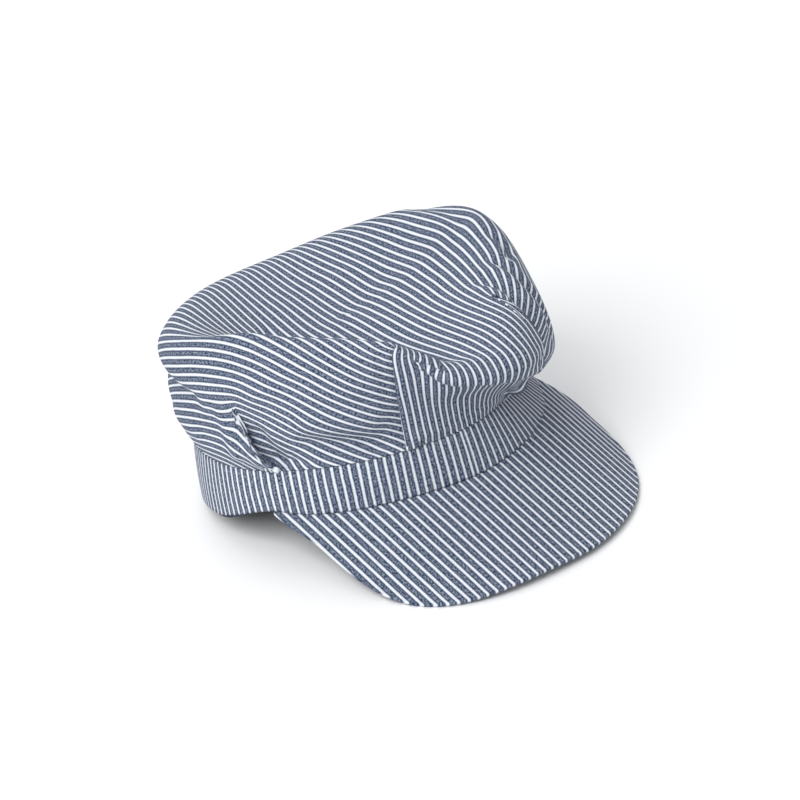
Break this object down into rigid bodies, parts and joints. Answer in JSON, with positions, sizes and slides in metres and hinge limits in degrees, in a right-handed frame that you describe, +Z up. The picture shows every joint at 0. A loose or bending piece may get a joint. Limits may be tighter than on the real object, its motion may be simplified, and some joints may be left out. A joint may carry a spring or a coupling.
{
  "type": "railroad engineer cap",
  "caption": "Soft cloth cap with a puffed, slumped crown, a straight band gathered at the back, and a long arched brim, in narrow navy and white stripes",
  "frame": {"origin": "middle of the outline from above, on the surface that the cap rests on", "axes": "+Z up, the brim points along -Y, and the wearer's left is +X"},
  "size_m": [0.1896, 0.2552, 0.1138],
  "materials": {
    "crown_cloth": "narrow navy and white striped cotton twill, soft and creased",
    "band_cloth": "the same striped cotton, with the stripes upright",
    "tape": "navy woven cotton tape",
    "brim_cloth": "the same striped cotton, stretched over a stiff board"
  },
  "bodies": {
    "root": {"crown": "crown_cloth", "band": "band_cloth", "inner_tape": "tape", "brim": "brim_cloth"}
  },
  "joints": []
}
